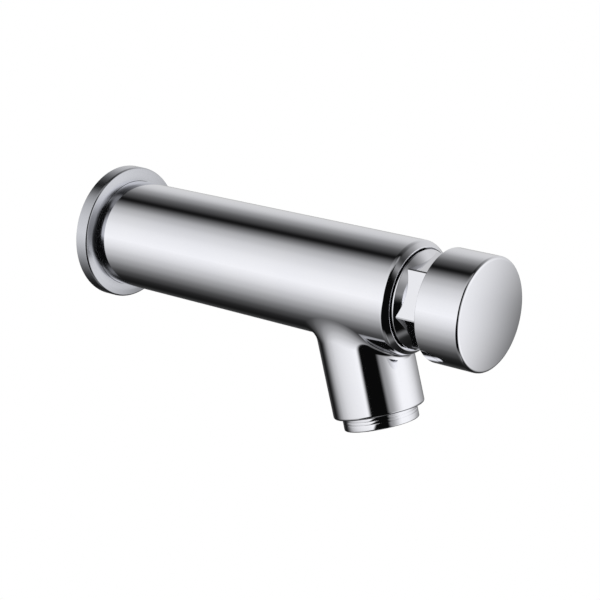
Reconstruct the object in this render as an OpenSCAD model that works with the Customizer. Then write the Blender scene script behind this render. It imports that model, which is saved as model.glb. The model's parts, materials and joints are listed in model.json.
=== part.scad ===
// Wall-mounted push tap with a timed, self-closing cartridge.
// Lengths are in millimetres. +Z is up, the wall is the plane y = 0 and the tap reaches out along -Y.
// Pieces are drawn along a local axis whose heights are distances from the wall.

/* [Body] */
// Outer diameter of the body tube
body_d = 40; // [38:0.5:46]
// Length of the body tube, back face to lip
body_len = 139; // [120:0.5:180]
// Gap between the wall and the back face of the body tube
body_wall_gap = 1.2; // [1.1:0.1:2]
// Wall of the body round its water chambers
body_wall = 3.8; // [2.5:0.1:4.5]
// Length of the chamfer round the front lip
lip_chamfer = 1.7; // [0.5:0.1:1.8]
// Length of plain bore between the inlet socket and the inlet chamber
inlet_neck_len = 3; // [2:0.5:8]
// Bevel at both ends of the inlet chamber
chamber_bevel = 3; // [1:0.5:4]

/* [Wall flange] */
// Outer diameter of the wall flange
flange_d = 50.1; // [48:0.1:64]
// Depth of the wall flange from the wall to its front, beside the body tube
flange_t = 6.4; // [6:0.1:8]
// Thickness of the front of the wall flange beside the body tube, whose back is hollow
flange_front_t = 2.2; // [2.1:0.1:2.4]
// Radius of the front edge of the wall flange
flange_edge = 2; // [0.5:0.1:2.4]
// Slope of the front face of the wall flange, which falls towards the rim
flange_slope = 13.5; // [0:0.5:15]
// Thickness of the gasket behind the flange and the body tube
gasket_t = 1; // [0.5:0.1:1.1]
// Metal of the flange rim outside the gasket
gasket_land = 2.2; // [1.2:0.1:3]
// Gap between the inlet thread and the gasket
gasket_gap = 2.5; // [1:0.1:5]
// Section of the ring by which the flange grips the body tube
grip_ring_d = 1.3; // [1:0.1:1.4]

/* [Inlet] */
// Outer diameter of the inlet thread, a half-inch pipe thread
inlet_d = 20.955; // [18:0.005:22]
// Bore of the inlet nipple
inlet_bore = 14.4; // [10:0.1:15]
// Length of the nipple behind the wall plane
nipple_out = 15; // [10:0.5:40]
// Length of the nipple screwed into the body
nipple_in = 15.8; // [10:0.1:24]
// Width of the relief groove between the two threads
relief_w = 1.6; // [1:0.1:3]
// Depth of the relief groove
relief_depth = 1.1; // [0.5:0.1:1.5]
// Bevel at the ends of the inlet thread
inlet_bevel = 1; // [0.5:0.1:1.5]
// Thickness of the fibre washer at the inner end of the nipple
inlet_washer_t = 1.5; // [1:0.1:3]
// Thickness of the strainer plate
strainer_t = 0.6; // [0.4:0.1:1.5]
// Diameter of a strainer hole
strainer_hole = 1.3; // [0.8:0.1:1.5]

/* [Spout] */
// Outer diameter of the spout
spout_d = 32.5; // [31:0.5:36]
// Forward lean of the spout
spout_lean = 17; // [5:1:18]
// Length of the spout from the axis of the body
spout_len = 45.6; // [42:0.2:70]
// Distance from the lip back to where the spout axis meets the body axis
spout_setback = 28.7; // [28.6:0.1:34]
// Bore of the spout
spout_bore = 18; // [14:0.5:19]
// Radius of the blend into the body at the back of the spout
blend_back = 3; // [2:0.5:8]
// Radius of the blend into the body at the front of the spout
blend_front = 2.8; // [1:0.1:2.8]
// Radius by which the blend widens at the sides of the spout
blend_side = 17; // [0:0.5:18]
// Radius of the lower edge of the spout
spout_edge = 1; // [0.3:0.1:2]

/* [Aerator] */
// Outer diameter of the aerator thread
aerator_thread_d = 24; // [20:0.5:26]
// Depth of the aerator socket in the spout
aerator_socket = 12.1; // [11:0.1:14]
// Outer diameter of the aerator ring
aerator_ring_d = 26.8; // [26.5:0.1:31]
// Length of the aerator ring below the spout
aerator_proud = 4.7; // [3:0.1:9]
// Thickness of the aerator washer
aerator_washer_t = 2; // [1:0.1:3]
// Wall of the aerator ring round its insert
aerator_wall = 1.9; // [1.5:0.1:2.5]
// Radius of the lower edge of the aerator ring
aerator_edge = 0.5; // [0.2:0.1:0.9]
// Width of the inward lip that holds the insert and mesh
aerator_lip = 0.8; // [0.5:0.1:1.5]
// Thickness of the inward lip
aerator_lip_t = 1; // [0.6:0.1:1.5]
// Thickness of the outlet mesh plate
mesh_t = 1.2; // [0.8:0.1:2]
// Distance between the centres of two mesh holes
mesh_pitch = 2.7; // [2.4:0.1:4]
// Thickness of the webs between the mesh holes
mesh_web = 0.32; // [0.2:0.02:0.6]
// Plain rim round the mesh holes
mesh_rim = 1.4; // [1:0.1:2.5]
// Number of jets in the insert
jets = 12; // [8:1:16]
// Diameter of a jet
jet_d = 1.6; // [1:0.1:2]
// Thickness of the plate that holds the jets
jet_plate_t = 2; // [1:0.1:3]
// Wall of the insert round its mixing space
insert_wall = 0.9; // [0.6:0.1:1.5]

/* [Cartridge head] */
// Width of the hexagon across its flats
hex_af = 29; // [27:0.5:30]
// Length of the hexagon in front of the collar
hex_len = 12.2; // [11:0.1:14]
// Turn of the hexagon about the tap axis
hex_turn = 9; // [0:1:59]
// Length of the bevel on the front corners of the hexagon
hex_bevel = 0.9; // [0.3:0.1:1.5]
// Step from the hexagon corners out to the collar
collar_step = 0.56; // [0.3:0.02:1]
// Slope of the cone from the collar up to the flats of the hexagon
shoulder_slope = 42; // [20:1:45]
// Thickness of the collar
collar_t = 4.8; // [3.8:0.1:7]
// Width of the dark gap between collar and lip
collar_gap = 0.5; // [0.3:0.1:0.8]
// Depth of the counterbore that takes the collar
counterbore = 4.2; // [3:0.1:4.5]
// Thickness of the seal under the collar
collar_seal_t = 1; // [0.6:0.1:1.5]
// Outer diameter of the cartridge thread
head_thread_d = 29.9; // [29:0.1:30.2]
// Length of the cartridge thread in the body
head_thread_len = 9.5; // [8:0.1:9.8]
// Length of the head behind its thread
head_tail = 4.5; // [2:0.1:6]

/* [Gland] */
// Depth of the hollow in front of the gland nut
gland_recess = 7; // [5:0.5:8]
// Step from the cylinder bore out to the gland thread
gland_step = 0.4; // [0.3:0.1:1]
// Thickness of the front wall of the gland nut
gland_end_t = 2.5; // [2:0.1:4]
// Width of the key slot across the gland nut
gland_slot_w = 2; // [1:0.1:3]
// Depth of the key slot
gland_slot_depth = 1.5; // [0.8:0.1:1.8]
// Wall of the guide bush in the gland nut
bush_wall = 2.5; // [1.5:0.1:3]
// Section of the seal ring round the stem
stem_ring_d = 2.1; // [1.5:0.1:2.3]

/* [Timing cylinder] */
// Outer diameter of the timing cylinder
cylinder_d = 25; // [24:0.1:26]
// Bore of the timing cylinder
cylinder_bore = 20; // [18:0.1:20.2]
// Length of the timing cylinder
cylinder_len = 31; // [28:0.5:36]
// Length of the timing cylinder held in the head
cylinder_seat = 13; // [10:0.5:13]
// Thickness of the stop between timing cylinder and gland
cylinder_stop = 3; // [2:0.1:4]
// Thickness of the end wall of the timing cylinder
cylinder_end_t = 4; // [3.5:0.1:6]
// Wall of the boss round the stem inside the timing cylinder
guide_wall = 2; // [1:0.1:2.5]
// Length of that boss
guide_boss_len = 2; // [1:0.1:3]
// Length of the spigot that centres the valve cage
spigot_len = 2; // [1:0.1:3]
// Section of the seal ring in the end wall
guide_ring_d = 1.5; // [1:0.1:1.8]
// Wall of the timing cylinder's end behind that ring
guide_ring_land = 1; // [0.6:0.1:1.6]

/* [Valve cage] */
// Length of the valve cage
cage_len = 24; // [22:0.5:30]
// Outer diameter of the cage nose in the body
nose_d = 20.9; // [20:0.1:21.4]
// Length of the cage nose in the body
nose_len = 10; // [8:0.5:11]
// Section of the seal ring round the nose
nose_ring_d = 1.6; // [1:0.1:1.8]
// Outer diameter of the cage round its windows
cage_d = 22.4; // [22:0.1:24]
// Wall of the cage round its windows
cage_wall = 2.8; // [2:0.1:3.5]
// Width of a cage window
window_w = 9; // [6:0.5:10]
// Distance from the nose to the windows
window_land = 1.5; // [1:0.1:3]
// Length of the closed ring in front of the windows
cage_ring_len = 3; // [2:0.1:4]

/* [Valve] */
// Outer diameter of the valve seat
seat_d = 15; // [14:0.1:16]
// Bore of the valve seat
seat_bore = 10.4; // [9:0.1:11]
// Thickness of the valve seat
seat_t = 4; // [3:0.1:5]
// Diameter of the valve washer
washer_d = 14; // [13:0.1:15]
// Thickness of the valve washer
washer_t = 3; // [2:0.1:4]
// Thickness of the plate that backs the valve washer
disc_plate_t = 2; // [1.5:0.1:3]
// Rim of that plate round the valve washer
disc_rim = 1.5; // [1:0.1:2]
// Width of the valve nut across its flats
valve_nut_af = 8; // [7:0.1:10]
// Thickness of the valve nut
valve_nut_t = 4; // [3:0.1:5]

/* [Stem and piston] */
// Diameter of the stem in its guides
stem_d = 8; // [7:0.1:8.4]
// Diameter of the stem where it passes the valve seat
stem_neck_d = 6.4; // [5.6:0.1:6.8]
// Diameter of the stem tail that carries the valve
stem_tail_d = 5; // [4:0.1:5.2]
// Length of the stem tail behind the valve nut
stem_tail_proud = 0.7; // [0.3:0.1:2]
// Length of the stem screwed into the button
stem_in_button = 3.5; // [2:0.1:4]
// Travel of the push button
travel = 9; // [5:0.5:9.2]
// Length of the piston
piston_len = 6; // [5:0.1:8]
// Distance of the piston behind the front of the timing cylinder
piston_inset = 1; // [0.8:0.1:2]
// Length of the piston spigot inside the spring
piston_spigot = 2; // [1:0.1:3]
// Plain length of the piston behind its seal groove
piston_land = 1.4; // [1:0.1:1.6]
// Width of the lip seal
lip_seal_w = 2.84; // [2:0.02:3]
// Depth of the lip seal's groove
lip_groove_depth = 2.6; // [2:0.1:3]
// Length of the plain heel of the lip seal
lip_heel = 1.4; // [1:0.1:1.8]
// Depth of the notch between the two lips
lip_notch = 1.6; // [1:0.1:2]
// Thickness of the circlip in front of the piston
clip_t = 1.1; // [0.8:0.1:1.4]
// Depth of the circlip's groove in the stem
clip_depth = 0.8; // [0.5:0.1:1]
// Reach of the circlip past the stem
clip_reach = 1.8; // [1:0.1:2.5]
// Opening of the circlip
clip_gap = 2.8; // [2:0.1:4]
// Wire diameter of the return spring
spring_wire = 1.4; // [1:0.1:1.6]
// Mean diameter of the return spring
spring_d = 14.8; // [14.6:0.1:16.4]
// Turns of the return spring
spring_turns = 6; // [4:0.5:7]

/* [Push button] */
// Diameter of the push button
button_d = 39.64; // [38.6:0.02:44]
// Length of the push button, back rim to front edge
button_len = 17.1; // [16:0.1:22]
// Gap between the collar and the back rim of the push button
button_gap = 9.8; // [9.4:0.1:11]
// Height of the dome on the front of the push button
button_dome = 1.4; // [0.4:0.1:3]
// Radius of the front edge of the push button
button_edge = 1.2; // [0.2:0.1:1.5]
// Clearance between the hexagon corners and the push button
button_clear = 0.55; // [0.3:0.05:0.8]
// Diameter of the boss that the stem screws into
boss_d = 13.2; // [11.5:0.1:16]
// Length of that boss
boss_len = 2.1; // [1.5:0.1:2.1]
// Width of the button's lock nut across its flats
lock_nut_af = 11.4; // [10:0.1:12.5]
// Thickness of the lock nut
lock_nut_t = 4; // [3:0.1:4.5]

/* [Hidden] */
$fn = 96;

// Clearances
thread_clear = 0.1;
seat_clear = 0.1;
slide_clear = 0.05;
ring_clear = 0.03;
ring_side_clear = 0.1;
groove_clear = 0.08;
flange_clear = 0.1;
bore_step = 0.6;
washer_clear = 0.2;
stem_end_clear = 0.3;
press_margin = 0.6;

// Edges and overlaps
thin_edge = 0.3;
chamber_edge = 1;
lip_land = 0.1;
shoulder_root = 0.2;
overcut = 1;

// Radii that several pieces share
body_r = body_d / 2;
chamber_r = body_r - body_wall;
flange_r = flange_d / 2;
flange_bore_r = body_r + flange_clear;
flange_hollow_r = max(flange_r - gasket_land, flange_bore_r + thin_edge);
grip_floor_r = flange_bore_r - grip_ring_d - 2 * ring_clear;
inlet_r = inlet_d / 2;
inlet_bore_r = inlet_bore / 2;
socket_r = inlet_r + thread_clear;
inlet_neck_r = inlet_bore_r + bore_step;
spout_r = spout_d / 2;
hex_r = hex_af / 2 / cos(30);
collar_r = hex_r + collar_step;
counterbore_r = collar_r + collar_gap;
head_r = head_thread_d / 2;
head_bore_r = head_r + thread_clear;
front_chamber_r = max(chamber_r, head_bore_r);
cylinder_r = cylinder_d / 2;
piston_bore_r = cylinder_bore / 2;
lip_floor_r = piston_bore_r - lip_groove_depth;
gland_r = piston_bore_r + gland_step;
stem_r = stem_d / 2;
guide_r = stem_r + slide_clear;
bush_r = stem_r + bush_wall;
stem_thread_r = stem_r - thread_clear;
tail_bore_r = stem_tail_d / 2 + slide_clear;
clip_floor_r = stem_r - clip_depth;
nose_r = nose_d / 2;
nose_floor_r = nose_r - nose_ring_d;
cage_bore_r = cage_d / 2 - cage_wall;
button_r = button_d / 2;
button_bore_r = hex_r + button_clear;

// Distances from the wall, back to front
back_z = body_wall_gap;
front_z = back_z + body_len;
flange_floor_z = flange_t - flange_front_t;
grip_ring_z = flange_t - flange_front_t / 2;
nipple_end_z = back_z + nipple_in;
relief_z = back_z - relief_w / 2 + groove_clear;
strainer_z = nipple_end_z + inlet_washer_t;
socket_floor_z = strainer_z + strainer_t;
inlet_chamber_z = socket_floor_z + inlet_neck_len;
counterbore_z = front_z - counterbore;
collar_back_z = counterbore_z + collar_seal_t;
collar_z = collar_back_z + collar_t;
hex_z = collar_z + hex_len;
head_thread_z = counterbore_z - head_thread_len;
head_back_z = head_thread_z - head_tail;
cylinder_front_z = head_back_z + cylinder_seat;
cylinder_back_z = cylinder_front_z - cylinder_len;
cylinder_floor_z = cylinder_back_z + cylinder_end_t;
guide_ring_z = cylinder_back_z + guide_ring_land + ring_side_clear + guide_ring_d / 2;
cage_z = cylinder_back_z - cage_len;
nose_end_z = cage_z + nose_len;
nose_ring_z = cage_z + seat_t + nose_ring_d / 2 - 2 * groove_clear;
bulkhead_z = nose_end_z - seat_clear;
gland_back_z = cylinder_front_z + cylinder_stop;
gland_front_z = hex_z - gland_recess;
gland_pocket_z = gland_front_z - gland_end_t;
stem_ring_z = gland_pocket_z - ring_side_clear - stem_ring_d / 2;
bush_front_z = stem_ring_z - stem_ring_d / 2 - ring_side_clear;
piston_front_z = cylinder_front_z - piston_inset;
piston_back_z = piston_front_z - piston_len;
lip_groove_z = piston_back_z + piston_land;
button_z = collar_z + button_gap;
button_rim_z = button_z + button_len;
button_floor_z = hex_z + travel + press_margin;
boss_z = button_floor_z - boss_len;
lock_nut_z = boss_z - lock_nut_t;
stem_end_z = button_floor_z + stem_in_button;
spout_z = front_z - spout_setback;

// Valve stack, measured back from its seat
washer_front_z = cage_z - seat_clear;
washer_back_z = washer_front_z - washer_t;
disc_back_z = washer_back_z - disc_plate_t;
valve_nut_z = disc_back_z - valve_nut_t;
stem_tail_z = valve_nut_z - stem_tail_proud;

// Shape of the stem between its stations
neck_setback = 3;
neck_taper = 0.8;
stem_shoulder = 0.5;

// Aerator stations along the spout axis
ledge_d = spout_len - aerator_socket;
aerator_back_d = ledge_d + aerator_washer_t + seat_clear;
aerator_ring_back_d = spout_len + seat_clear;
aerator_end_d = spout_len + aerator_proud;
aerator_lip_d = aerator_end_d - aerator_lip_t;
mesh_back_d = aerator_lip_d - mesh_t;
aerator_socket_r = aerator_thread_d / 2;
aerator_thread_r = aerator_socket_r - thread_clear;
aerator_ring_r = aerator_ring_d / 2;
aerator_washer_overhang = 0.5;
insert_r = aerator_thread_r - aerator_wall;
jet_circle_share = 0.6;

// Places a piece drawn along the local axis on the wall
module on_wall() { rotate([90, 0, 0]) children(); }

// Places a piece drawn along the spout axis
module on_spout() { on_wall() translate([0, 0, spout_z]) rotate([90 - spout_lean, 0, 0]) children(); }

// Straight cylinder between two stations
module between(r, z0, z1) { translate([0, 0, z0]) cylinder(r = r, h = z1 - z0); }

// Cylinder that cuts past both of its stations
module through(r, z0, z1) { between(r, z0 - overcut, z1 + overcut); }

// Ring of rectangular section between two stations
module ring(outer_r, inner_r, z0, z1) {
    difference() {
        between(outer_r, z0, z1);
        through(inner_r, z0, z1);
    }
}

// Ring of round section whose inner radius is given
module round_ring(inner_r, section_d, z) {
    translate([0, 0, z]) rotate_extrude()
        translate([inner_r + section_d / 2, 0]) circle(d = section_d, $fn = 32);
}

// Six-sided nut
module nut(af, bore_r, z0, z1) {
    difference() {
        translate([0, 0, z0]) cylinder(r = af / 2 / cos(30), h = z1 - z0, $fn = 6);
        through(bore_r, z0, z1);
    }
}

// Points of an arc in a profile
function arc(cx, cy, r, from, to, steps = 8) =
    [for (i = [0 : steps]) let(a = from + (to - from) * i / steps) [cx + r * cos(a), cy + r * sin(a)]];

function unit(v) = v / norm(v);

// Blend of the spout into the body: a ball rolls round the corner, small at the front and large at the sides.
// The ball sinks a little into both walls so that the blend meets them at a clear angle.
blend_sink = 0.06;
blend_bias = 0.9;
blend_root = 1;
blend_steps = 6;
blend_sections = 72;
function blend_r(turn) =
    blend_front + (blend_back - blend_front) * (1 - cos(turn)) / 2
    + blend_side * pow(sin(turn), 6) * (1 - blend_bias * cos(turn));
function blend_centre(turn) = let(
        r = blend_r(turn) - blend_sink,
        reach = spout_r + r,
        x = reach * sin(turn),
        y = -sqrt(pow(body_r + r, 2) - x * x),
        d = (reach * cos(turn) * sin(spout_lean) - y) / cos(spout_lean))
    [x, y, spout_z + d * sin(spout_lean) + reach * cos(turn) * cos(spout_lean)];
function to_body(turn) = let(c = blend_centre(turn)) -unit([c.x, c.y, 0]);
function to_spout(turn) = -[sin(turn), cos(turn) * sin(spout_lean), cos(turn) * cos(spout_lean)];
function blend_section(turn) = let(
        r = blend_r(turn),
        c = blend_centre(turn),
        a = to_body(turn),
        b = to_spout(turn),
        sweep = acos(a * b))
    concat(
        [for (k = [0 : blend_steps]) let(t = k / blend_steps)
            c + r * (sin((1 - t) * sweep) * a + sin(t * sweep) * b) / sin(sweep)],
        [c + (r / cos(sweep / 2) + blend_root) * unit(a + b)]);

// Faces of a tube whose cross-sections run round a closed loop
function loop_faces(sections, points) = [
    for (i = [0 : sections - 1], j = [0 : points - 1], half = [0, 1])
        let(
            i1 = (i + 1) % sections,
            j1 = (j + 1) % points,
            p00 = i * points + j,
            p01 = i * points + j1,
            p10 = i1 * points + j,
            p11 = i1 * points + j1)
        half == 0 ? [p00, p01, p11] : [p00, p11, p10]];

module spout_blend() {
    points = [for (i = [0 : blend_sections - 1]) each blend_section(360 * i / blend_sections)];
    polyhedron(points, loop_faces(blend_sections, blend_steps + 2), convexity = 6);
}

// Outer form of the body tube with its lip and the groove of the grip ring
module body_tube() {
    lip = min(lip_chamfer, body_r - counterbore_r - lip_land);
    groove_half = grip_ring_d / 2 + ring_side_clear;
    rotate_extrude() polygon([
        [0, back_z], [body_r - thin_edge, back_z], [body_r, back_z + thin_edge],
        [body_r, grip_ring_z - groove_half], [grip_floor_r, grip_ring_z - groove_half],
        [grip_floor_r, grip_ring_z + groove_half], [body_r, grip_ring_z + groove_half],
        [body_r, front_z - lip], [body_r - lip, front_z], [0, front_z]]);
}

// Outer form of the spout, from the body axis down
module spout_tube() {
    rotate_extrude() polygon(concat(
        [[0, 0], [spout_r, 0]],
        arc(spout_r - spout_edge, spout_len - spout_edge, spout_edge, 0, 90),
        [[0, spout_len]]));
}

// Hollow of the body along the tap axis
module body_hollow() {
    rotate_extrude() polygon([
        [0, back_z - overcut], [socket_r + inlet_bevel + overcut, back_z - overcut],
        [socket_r, back_z + inlet_bevel], [socket_r, socket_floor_z],
        [inlet_neck_r, socket_floor_z], [inlet_neck_r, inlet_chamber_z],
        [chamber_r - chamber_bevel, inlet_chamber_z], [chamber_r, inlet_chamber_z + chamber_bevel],
        [chamber_r, cage_z - chamber_bevel], [chamber_r - chamber_bevel, cage_z],
        [nose_r + thread_clear, cage_z], [nose_r + thread_clear, bulkhead_z],
        [front_chamber_r - chamber_edge, bulkhead_z], [front_chamber_r, bulkhead_z + chamber_edge],
        [front_chamber_r, head_thread_z - chamber_edge], [head_bore_r, head_thread_z],
        [head_bore_r, counterbore_z], [counterbore_r, counterbore_z],
        [counterbore_r, front_z + overcut], [0, front_z + overcut]]);
}

// Hollow of the spout along its own axis
module spout_hollow() {
    between(spout_bore / 2, chamber_r / 2, ledge_d + overcut);
    between(aerator_socket_r, ledge_d, spout_len + overcut);
}

module tap_body() {
    color("#c6c9d1") difference() {
        union() {
            on_wall() body_tube();
            on_spout() spout_tube();
            on_wall() spout_blend();
        }
        on_wall() body_hollow();
        on_spout() spout_hollow();
    }
}

// Turned plate with a hollow back, which slides along the body tube up to the wall
module wall_flange() {
    edge_r = flange_r - flange_edge;
    face_w = edge_r + flange_edge * sin(flange_slope) - flange_bore_r;
    edge_z = flange_t - face_w * tan(flange_slope) - flange_edge * cos(flange_slope);
    color("#c6c9d1") on_wall() rotate_extrude() polygon(concat(
        [[flange_hollow_r, 0], [flange_r - thin_edge, 0], [flange_r, thin_edge]],
        arc(edge_r, edge_z, flange_edge, 0, 90 - flange_slope),
        [[flange_bore_r, flange_t], [flange_bore_r, flange_floor_z], [flange_hollow_r, flange_floor_z]]));
}

module wall_gasket() {
    color("#2c2c2e") on_wall() ring(flange_hollow_r - groove_clear, inlet_r + gasket_gap, 0, gasket_t);
}

module flange_grip_ring() {
    color("#1f1f21") on_wall() round_ring(grip_floor_r + ring_clear, grip_ring_d, grip_ring_z);
}

module inlet_nipple() {
    color("#b79a52") on_wall() rotate_extrude() polygon([
        [inlet_bore_r, -nipple_out], [inlet_r - inlet_bevel, -nipple_out],
        [inlet_r, inlet_bevel - nipple_out], [inlet_r, relief_z], [inlet_r - relief_depth, relief_z],
        [inlet_r - relief_depth, relief_z + relief_w], [inlet_r, relief_z + relief_w],
        [inlet_r, nipple_end_z - inlet_bevel], [inlet_r - inlet_bevel, nipple_end_z],
        [inlet_bore_r, nipple_end_z]]);
}

module inlet_washer() {
    color("#8c3b2e") on_wall() ring(inlet_r, inlet_bore_r + washer_clear, nipple_end_z, strainer_z);
}

module inlet_strainer() {
    rows = 3;
    pitch = (inlet_bore_r - strainer_hole) / rows;
    color("#a9adb3") on_wall() difference() {
        between(inlet_r, strainer_z, socket_floor_z);
        through(strainer_hole / 2, strainer_z, socket_floor_z, $fn = 24);
        for (row = [1 : rows], i = [1 : 6 * row])
            rotate([0, 0, 60 * i / row]) translate([row * pitch, 0, 0])
                through(strainer_hole / 2, strainer_z, socket_floor_z, $fn = 24);
    }
}

// Collar whose cone runs on under the flats of the hexagon
module head_collar() {
    flat_r = hex_af / 2 - shoulder_root;
    rise = tan(shoulder_slope);
    shoulder_z = collar_z + (hex_r - flat_r) * rise;
    rotate_extrude() polygon([
        [0, collar_back_z], [collar_r - thin_edge, collar_back_z], [collar_r, collar_back_z + thin_edge],
        [collar_r, collar_z - collar_step * rise], [flat_r, shoulder_z], [0, shoulder_z]]);
}

module cartridge_head() {
    color("#c2c5cd") on_wall() difference() {
        union() {
            between(head_r, head_back_z, collar_back_z);
            head_collar();
            intersection() {
                rotate([0, 0, hex_turn]) translate([0, 0, collar_z - overcut])
                    cylinder(r = hex_r, h = hex_len + overcut, $fn = 6);
                rotate_extrude() polygon([
                    [0, collar_z - 2 * overcut], [hex_r + 2 * overcut, collar_z - 2 * overcut],
                    [hex_r + 2 * overcut, hex_z - hex_bevel - overcut], [hex_r - 2 * hex_bevel, hex_z],
                    [0, hex_z]]);
            }
        }
        between(cylinder_r + slide_clear, head_back_z - overcut, cylinder_front_z);
        between(piston_bore_r + washer_clear, head_back_z, gland_back_z + overcut);
        between(gland_r + thread_clear, gland_back_z, hex_z + overcut);
    }
}

module collar_seal() {
    color("#232325") on_wall() ring(collar_r, head_bore_r + groove_clear, counterbore_z, collar_back_z);
}

module timing_cylinder() {
    groove_half = guide_ring_d / 2 + ring_side_clear;
    boss_front_z = cylinder_floor_z + guide_boss_len;
    spigot_z = cylinder_back_z - spigot_len;
    color("#e4e3dc") on_wall() difference() {
        union() {
            between(cylinder_r, cylinder_back_z, cylinder_front_z);
            between(cage_bore_r - slide_clear, spigot_z, cylinder_back_z + overcut);
        }
        difference() {
            between(piston_bore_r, cylinder_floor_z, cylinder_front_z + overcut);
            between(stem_r + guide_wall, cylinder_floor_z - overcut, boss_front_z);
        }
        through(guide_r, spigot_z, boss_front_z);
        between(guide_r + guide_ring_d, guide_ring_z - groove_half, guide_ring_z + groove_half);
    }
}

module guide_o_ring() {
    color("#1f1f21") on_wall() round_ring(stem_r + ring_clear, guide_ring_d, guide_ring_z);
}

module valve_cage() {
    window_z = nose_end_z + window_land;
    window_len = cylinder_back_z - cage_ring_len - window_z;
    groove_half = nose_ring_d / 2 + 2 * ring_side_clear;
    color("#dcdbd4") on_wall() difference() {
        union() {
            between(nose_r, cage_z, nose_end_z);
            between(cage_d / 2, nose_end_z, cylinder_back_z);
        }
        between(seat_d / 2 + slide_clear, cage_z - overcut, cage_z + seat_t);
        between(seat_bore / 2 + bore_step, cage_z, cylinder_back_z);
        between(cage_bore_r, nose_end_z, cylinder_back_z + overcut);
        for (side = [0, 90]) rotate([0, 0, side + hex_turn])
            translate([-cage_d, -window_w / 2, window_z]) cube([2 * cage_d, window_w, window_len]);
        ring(nose_r + overcut, nose_floor_r, nose_ring_z - groove_half, nose_ring_z + groove_half);
    }
}

module nose_o_ring() {
    color("#1f1f21") on_wall() round_ring(nose_floor_r + ring_clear, nose_ring_d, nose_ring_z);
}

module valve_seat() {
    color("#a9adb3") on_wall() ring(seat_d / 2, seat_bore / 2, cage_z, cage_z + seat_t);
}

module valve_washer() {
    color("#1d1d1f") on_wall() ring(washer_d / 2, tail_bore_r, washer_back_z, washer_front_z);
}

module valve_disc() {
    color("#b79a52") on_wall() difference() {
        between(washer_d / 2 + disc_rim, disc_back_z, washer_back_z + washer_t / 2);
        between(washer_d / 2 + slide_clear, washer_back_z, washer_front_z);
        through(tail_bore_r, disc_back_z, washer_back_z);
    }
}

module valve_nut() {
    color("#a9adb3") on_wall() nut(valve_nut_af, tail_bore_r, valve_nut_z, disc_back_z);
}

module stem() {
    tail_r = stem_tail_d / 2;
    neck_r = stem_neck_d / 2;
    neck_end_z = cylinder_back_z - neck_setback;
    thread_z = lock_nut_z - stem_shoulder;
    color("#aeb1b6") on_wall() difference() {
        rotate_extrude() polygon([
            [0, stem_tail_z], [tail_r - thin_edge, stem_tail_z], [tail_r, stem_tail_z + thin_edge],
            [tail_r, washer_front_z], [neck_r, washer_front_z], [neck_r, neck_end_z],
            [stem_r, neck_end_z + neck_taper], [stem_r, thread_z], [stem_thread_r, thread_z + thread_clear],
            [stem_thread_r, stem_end_z - thin_edge], [stem_thread_r - thin_edge, stem_end_z],
            [0, stem_end_z]]);
        ring(stem_r + overcut, clip_floor_r, piston_front_z, piston_front_z + clip_t + 2 * slide_clear);
    }
}

module piston() {
    groove_front_z = lip_groove_z + lip_seal_w + 2 * groove_clear;
    spigot_z = piston_back_z - piston_spigot;
    color("#d8d6cc") on_wall() difference() {
        union() {
            between(piston_bore_r - slide_clear, piston_back_z, piston_front_z);
            between(stem_r + guide_wall, spigot_z, piston_back_z + overcut);
        }
        through(guide_r, spigot_z, piston_front_z);
        ring(piston_bore_r + overcut, lip_floor_r, lip_groove_z, groove_front_z);
    }
}

// Cup-shaped seal that lets the chamber empty fast and fill slowly
module piston_lip_seal() {
    z = lip_groove_z + groove_clear;
    inner_r = lip_floor_r + slide_clear;
    outer_r = piston_bore_r - slide_clear;
    lip_w = (outer_r - inner_r) / 3;
    color("#1d1d1f") on_wall() rotate_extrude() polygon([
        [inner_r, z], [inner_r + lip_w, z], [(inner_r + outer_r) / 2, z + lip_notch],
        [outer_r - lip_w, z], [outer_r, z], [outer_r, z + lip_heel],
        [outer_r - thin_edge, z + lip_seal_w], [inner_r, z + lip_seal_w]]);
}

module piston_circlip() {
    gap_turn = -30;
    clip_z = piston_front_z + slide_clear;
    clip_r = stem_r + clip_reach;
    color("#7d8086") on_wall() difference() {
        ring(clip_r, clip_floor_r + slide_clear, clip_z, clip_z + clip_t);
        rotate([0, 0, gap_turn]) translate([0, -clip_gap / 2, clip_z - overcut])
            cube([clip_r + overcut, clip_gap, clip_t + 2 * overcut]);
    }
}

// Return spring, one unbroken wire between the cylinder floor and the piston
spring_sides = 8;
spring_rings = 16;
spring_from_z = cylinder_floor_z + spring_wire / 2 + seat_clear;
spring_to_z = piston_back_z - spring_wire / 2 - seat_clear;
spring_pitch = (spring_to_z - spring_from_z) / spring_turns;
function spring_point(i, j) = let(
        turn = 360 * i / spring_rings,
        side = 360 * j / spring_sides,
        r = spring_d / 2 + spring_wire / 2 * cos(side),
        rise = spring_pitch * i / spring_rings + spring_wire / 2 * sin(side))
    [r * cos(turn), r * sin(turn), spring_from_z + rise];

module return_spring() {
    count = floor(spring_turns * spring_rings) + 1;
    last = (count - 1) * spring_sides;
    echo(least_gap_between_spring_turns = spring_pitch - spring_wire);
    color("#8f9298") on_wall() polyhedron(
        [for (i = [0 : count - 1], j = [0 : spring_sides - 1]) spring_point(i, j)],
        concat(
            [for (i = [0 : count - 2], j = [0 : spring_sides - 1], half = [0, 1])
                let(j1 = (j + 1) % spring_sides, a = i * spring_sides, b = a + spring_sides)
                half == 0 ? [a + j, b + j1, a + j1] : [a + j, b + j, b + j1]],
            [for (j = [1 : spring_sides - 2]) [0, j, j + 1]],
            [for (j = [1 : spring_sides - 2]) [last, last + j + 1, last + j]]),
        convexity = 10);
}

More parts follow.
